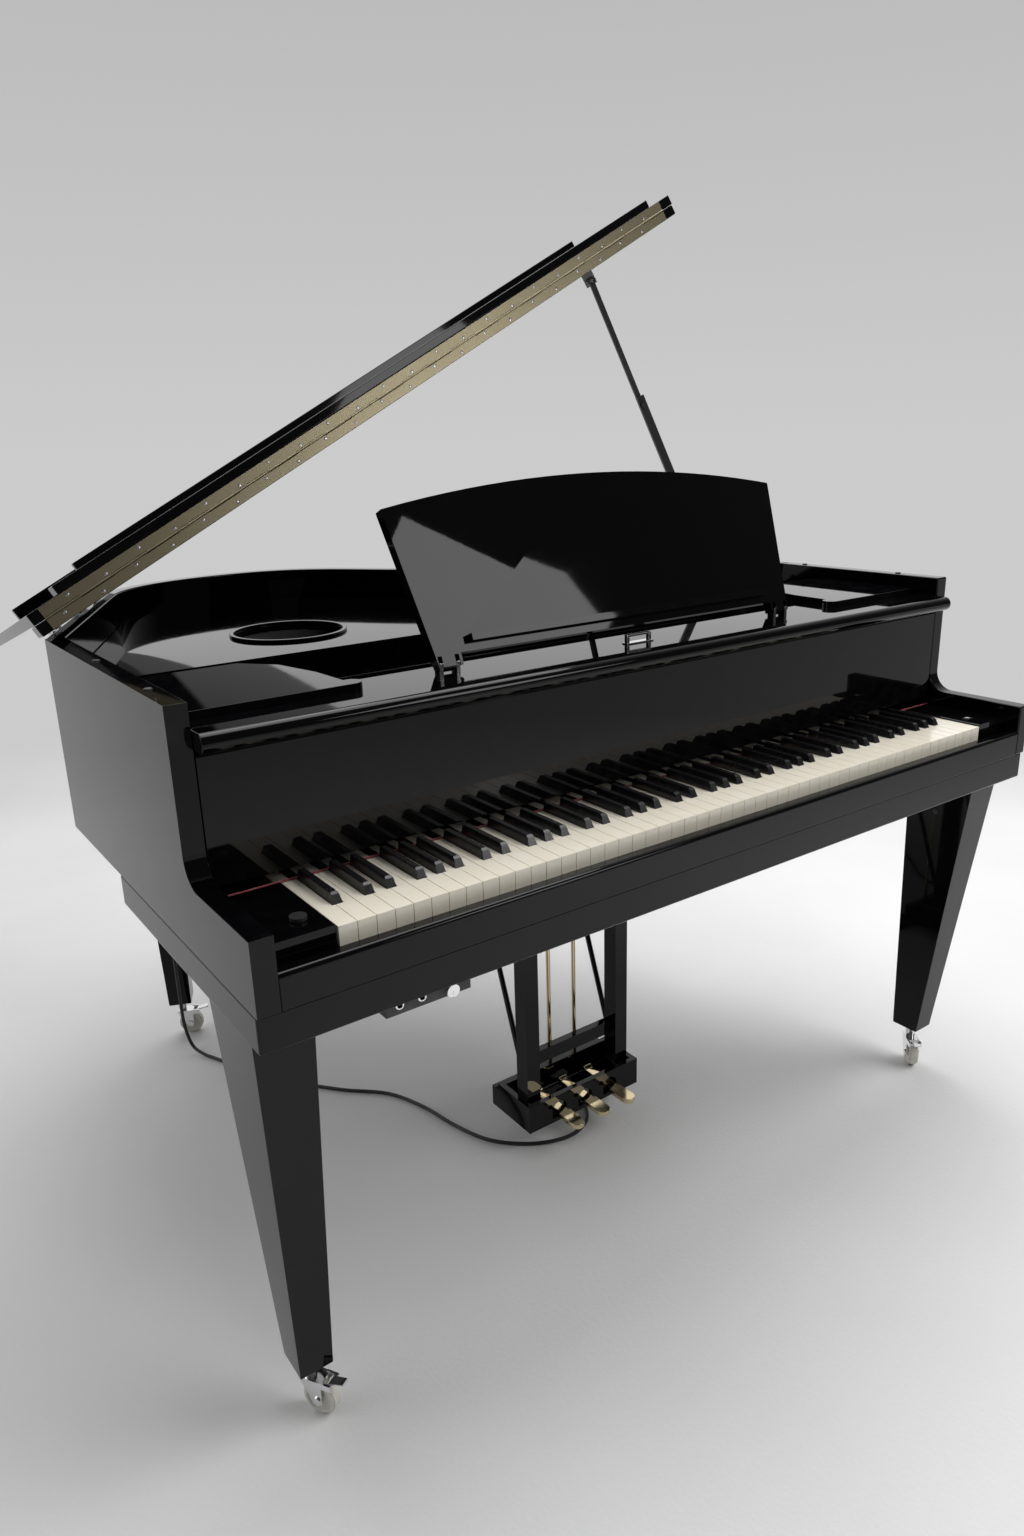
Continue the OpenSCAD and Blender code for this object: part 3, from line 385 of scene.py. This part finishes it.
def threads(tree, coords):
    """The height of a plain weave: two sets of waves at right angles, taken where each is the higher."""
    heights = []
    for direction in ("X", "Z"):
        w = tree.nodes.new("ShaderNodeTexWave")
        w.bands_direction = direction
        w.inputs["Scale"].default_value = 420.0
        w.inputs["Distortion"].default_value = 1.5
        tree.links.new(coords, w.inputs["Vector"])
        heights.append(w.outputs["Fac"])
    top = tree.nodes.new("ShaderNodeMath")
    top.operation = "MAXIMUM"
    for i, h in enumerate(heights):
        tree.links.new(h, top.inputs[i])
    return top.outputs[0]


felt = finish("red_felt", (0.30, 0.012, 0.02), (0.42, 0.05, 0.06), 0.5, 0.85, 0.98, 60.0, 0.5, extra=threads)
felt.node_tree.nodes["Principled BSDF"].inputs["Sheen Weight"].default_value = 0.5
eased("key_felt", felt, 0.0012, 2)
steel = finish("plain_steel", (0.5, 0.5, 0.52), (0.65, 0.65, 0.66), 0.5, 0.25, 0.42, 20.0, 0.08,
               metal=1.0, grain=(0.12, (40, 1, 1)))
eased("key_frame", steel, 0.0004, 1)

# Lid, flap and their long hinge -------------------------------------------------
# Two lacquered boards are joined by a long brass hinge, whose leaves show on the meeting edges
# with their countersunk screws. The folded flap carries its stiffening strips on top.
for name, width in (("lid_board", 0.002), ("flap_board", 0.002), ("flap_frame", 0.0015)):
    eased(name, lacquer, width, 3)
brass = finish("aged_brass", (0.30, 0.262, 0.172), (0.32, 0.28, 0.184), 0.5, 0.37, 0.405, 5.0, 0.0, metal=1.0)
for name in ("lower_strip", "upper_strip"):
    eased(name, brass, 0.0003, 1)
lean = math.radians(24.0)
lid_axis = np.array((math.sin(lean), math.cos(lean), 0.0))
lid_pin = np.array((-723 - 6 * math.cos(lean), 700 + 6 * math.sin(lean), 966.0))


def raised(points, angle=30.0):
    """Points of the closed lid turned up about its hinge line by angle, by the rule v cos + (a x v) sin + a (a.v)(1 - cos)."""
    v = np.atleast_2d(np.array(points, float)) - lid_pin
    t = math.radians(-angle)
    return (lid_pin + v * math.cos(t) + np.cross(lid_axis, v) * math.sin(t)
            + np.outer(v @ lid_axis, lid_axis) * (1 - math.cos(t)))


strip_front = (raised((0, 0, 966)) - raised((0, 1, 966)))[0]
screw = turned([(0, -0.1), (0, 0.05), (0.9, 0.06), (1.0, 0.27), (2.4, 0.24), (3.1, -0.1)], 14)
screw_x = np.arange(-690, 665, 62.0)
low_row = raised(np.column_stack([screw_x, np.full(len(screw_x), 625.2),
                                  np.where(np.arange(len(screw_x)) % 2, 972.5, 978.0)]))
high_row = raised(np.column_stack([screw_x + 18, np.full(len(screw_x), 625.2),
                                   np.where(np.arange(len(screw_x)) % 2, 990.5, 996.0)]))
made("lid_screws", [placed(screw, low_row, strip_front)], steel, "lid")
made("flap_screws", [placed(screw, high_row, strip_front)], steel, "flap")

# Lid hinges and folding stay ------------------------------------------------------
# Three polished steel butt hinges hold the lid to the rim along the slanting rear edge. A black
# two-part stay holds it up, its upper link pinned under the lid and its lower link inside the rim.
for name in ("rim_hinges", "lid_fittings", "pivot_brackets"):
    eased(name, chrome, 0.0004, 2)
for name in ("stay_upper", "stay_lower"):
    eased(name, satin, 0.0012, 2)
away = np.array((math.cos(lean), -math.sin(lean), 0.0))
plate_screws = [lid_pin + s * lid_axis + 2.8 * away + (0, 0, z)
                for h in (60, 240, 420) for s in (h + 10, h + 32, h + 54)
                for z in (-18, -36)]
made("hinge_screws", [placed(screw, plate_screws, -away)], chrome, "case")

# Speaker -----------------------------------------------------------------------------
# A round opening in the top plate, trimmed by a thin moulded ring, shows a pressed paper cone
# with a rubber roll and a domed cap.
paper = finish("paper_cone", (0.03, 0.03, 0.032), (0.06, 0.06, 0.06), 0.2, 0.7, 0.9, 25.0, 0.6)
eased("woofer", paper, 0.0005, 1)
eased("port_ring", lacquer, 0.0014, 3)

# Electronics inside the case ---------------------------------------------------------
# A green board on posts with sealed chips, and the power unit in a zinc plated can.
green = finish("circuit_green", (0.02, 0.13, 0.06), (0.1, 0.25, 0.12), 0.3, 0.25, 0.45, 30.0, 0.2)
eased("main_board", green, 0.0003, 1)
zinc = finish("zinc_can", (0.55, 0.56, 0.58), (0.7, 0.7, 0.7), 0.5, 0.3, 0.5, 10.0, 0.2, metal=1.0)
eased("power_unit", zinc, 0.001, 2)

# Controls --------------------------------------------------------------------------------
# The volume knob and the power switch sit in the key blocks. A small box under the keybed has
# the second knob and two headphone sockets with polished nuts.
eased("control_box", satin, 0.0025, 3)
eased("control_knob", chrome, 0.0012, 3)
eased("volume_knob", satin, 0.0016, 3)
eased("power_switch", satin, 0.0012, 2)
nut = turned([(3.35, 0.0), (3.35, 1.4), (3.9, 2.0), (5.2, 2.0), (5.8, 1.4), (5.8, -0.1)], 24)
made("socket_nuts", [placed(nut, [(-546, 0, 610), (-516, 0, 610)], (0, -1, 0))], chrome, "case")
white = finish("white_mark", (0.8, 0.8, 0.78), (0.7, 0.7, 0.7), 0.2, 0.3, 0.5, 20.0, 0.05)
made("switch_mark", [bar((640.0, 36.4, 733.2), (643.2, 43.6, 733.75))], white, "power_switch", 0.0002)

# Pedal lyre ---------------------------------------------------------------------------------
# Two lacquered posts carry the pedal box and are braced to the underside. Cast brass pedals
# turn on a rod in the box, and three thin brass rods run up to the keybed.
for name, width in (("lyre_frame", 0.002), ("pedal_box", 0.002)):
    eased(name, lacquer, width, 3)
bright_brass = finish("polished_brass", (0.76, 0.64, 0.40), (0.88, 0.80, 0.6), 0.6, 0.08, 0.24, 16.0, 0.04,
                      metal=1.0)
eased("pedal_rods", bright_brass, 0.0003, 1)
for name in ("left_pedal", "middle_pedal", "right_pedal"):
    eased(name, bright_brass, 0.0022, 3)

# Casters -----------------------------------------------------------------------------------------
# Small polished double-cheek casters turn on stems in the leg ends. Each has a hard cream wheel
# and a brake lever on its trailing side.
hard_wheel = finish("cream_wheel", (0.62, 0.60, 0.54), (0.35, 0.33, 0.3), 0.6, 0.22, 0.45, 30.0, 0.15)
for side in ("left", "right", "rear"):
    eased(side + "_fork", chrome, 0.0006, 2)
    eased(side + "_wheel", hard_wheel, 0.0012, 2)
    eased(side + "_brake", chrome, 0.0007, 2)

# Small fittings --------------------------------------------------------------------------------------
# Rubber buttons on the side panels keep the closed lid off the lacquer, and black caps close
# the bolt holes in the inner faces of the front legs.
rubber = finish("rubber_button", (0.02, 0.02, 0.02), (0.08, 0.08, 0.08), 0.4, 0.6, 0.8, 40.0, 0.3)
button = turned([(0, 1.7), (4.2, 1.6), (5.0, 0.9), (5.0, -0.3)], 20)
button_at = [(x, y, 964.0) for x in (-709.5, 709.5) for y in (250.0, 470.0)]
made("lid_buttons", [placed(button, button_at, (0, 0, 1))], rubber, "case")
cap = turned([(0, 1.4), (3.6, 1.3), (4.6, 0.5), (4.6, -0.6)], 18)
made("leg_caps", [placed(cap, [(643.4 * s, 84.0, z) for z in (572.0, 544.0)], (-s, 0, 0)) for s in (-1, 1)],
     satin, "case")

# Floor and studio light ------------------------------------------------------------------------------
# A pale matt floor fades with distance into the pale background, lit by wide soft panels
# from above, from the right and from the front.
floor_mesh = bpy.data.meshes.new("studio_floor")
floor_mesh.from_pydata([(-30, -30, 0), (30, -30, 0), (30, 30, 0), (-30, 30, 0)], [], [(0, 1, 2, 3)])
floor_mat, tree, shader, coords = shaded("studio_floor")


def grey(tree, value, socket):
    """Drive a colour input with one value."""
    join = tree.nodes.new("ShaderNodeCombineColor")
    for channel in ("Red", "Green", "Blue"):
        tree.links.new(value, join.inputs[channel])
    tree.links.new(join.outputs["Color"], socket)


shade = span(tree, noise(tree, coords, 1.3, 4.0), 0.3, 0.7, 0.66, 0.72)
distance = tree.nodes.new("ShaderNodeVectorMath")
distance.operation = "LENGTH"
tree.links.new(coords, distance.inputs[0])
far = span(tree, distance.outputs["Value"], 2.1, 3.6, 0.0, 1.0)
near = span(tree, far, 0.0, 1.0, shade, 0.0)
grey(tree, near, shader.inputs["Base Color"])
shader.inputs["Emission Color"].default_value = (0.6, 0.6, 0.6, 1)
tree.links.new(far, shader.inputs["Emission Strength"])
tree.links.new(bump(tree, noise(tree, coords, 140.0, 4.0), 0.25, 0.002), shader.inputs["Normal"])
shader.inputs["Roughness"].default_value = 0.85
shader.inputs["Specular IOR Level"].default_value = 0.0
floor_mesh.materials.append(floor_mat)
floor = bpy.data.objects.new("studio_floor", floor_mesh)
bpy.context.scene.collection.objects.link(floor)


def soft_panel(name, size, power, place, aim, mirrored=True):
    """A square area light at place that faces aim; mirrored says whether polished faces show it."""
    lamp = bpy.data.lights.new(name, "AREA")
    lamp.size = size
    lamp.energy = power
    o = bpy.data.objects.new(name, lamp)
    bpy.context.scene.collection.objects.link(o)
    o.visible_glossy = mirrored
    z = np.array(place, float) - np.array(aim, float)
    z /= np.linalg.norm(z)
    x = np.cross((0.0, 1.0, 0.05), z)
    x /= np.linalg.norm(x)
    y = np.cross(z, x)
    o.matrix_world = Matrix.Translation(place) @ Matrix(np.column_stack([x, y, z]).tolist()).to_4x4()


soft_panel("panel_above", 3.4, 120, (0.6, 0.8, 4.2), (0, 0, 0.5))
soft_panel("panel_left", 2.2, 18, (-3.6, 0.8, 2.6), (0, 0, 0.7))
soft_panel("panel_right", 2.4, 110, (2.8, -2.2, 3.4), (0.2, -1.0, 0), mirrored=False)
soft_panel("panel_front", 1.2, 22, (1.8, -3.4, 2.6), (0, -0.4, 0.7))
bpy.context.scene.view_settings.view_transform = "Standard"
world = bpy.data.worlds.new("studio")
bpy.context.scene.world = world
world.use_nodes = True
tree = world.node_tree
back = tree.nodes["Background"]
sky = tree.nodes.new("ShaderNodeTexCoord").outputs["Generated"]
parts = tree.nodes.new("ShaderNodeSeparateXYZ")
tree.links.new(sky, parts.inputs[0])
behind = span(tree, parts.outputs["Y"], -0.35, 0.55, 0.08, 0.9)
seen = span(tree, parts.outputs["Z"], 0.0, 0.6, 0.6, 0.42)
path = tree.nodes.new("ShaderNodeLightPath")
pick = tree.nodes.new("ShaderNodeMix")
pick.data_type = "FLOAT"
tree.links.new(path.outputs["Is Camera Ray"], pick.inputs["Factor"])
tree.links.new(behind, pick.inputs["A"])
tree.links.new(seen, pick.inputs["B"])
grey(tree, pick.outputs["Result"], back.inputs["Color"])
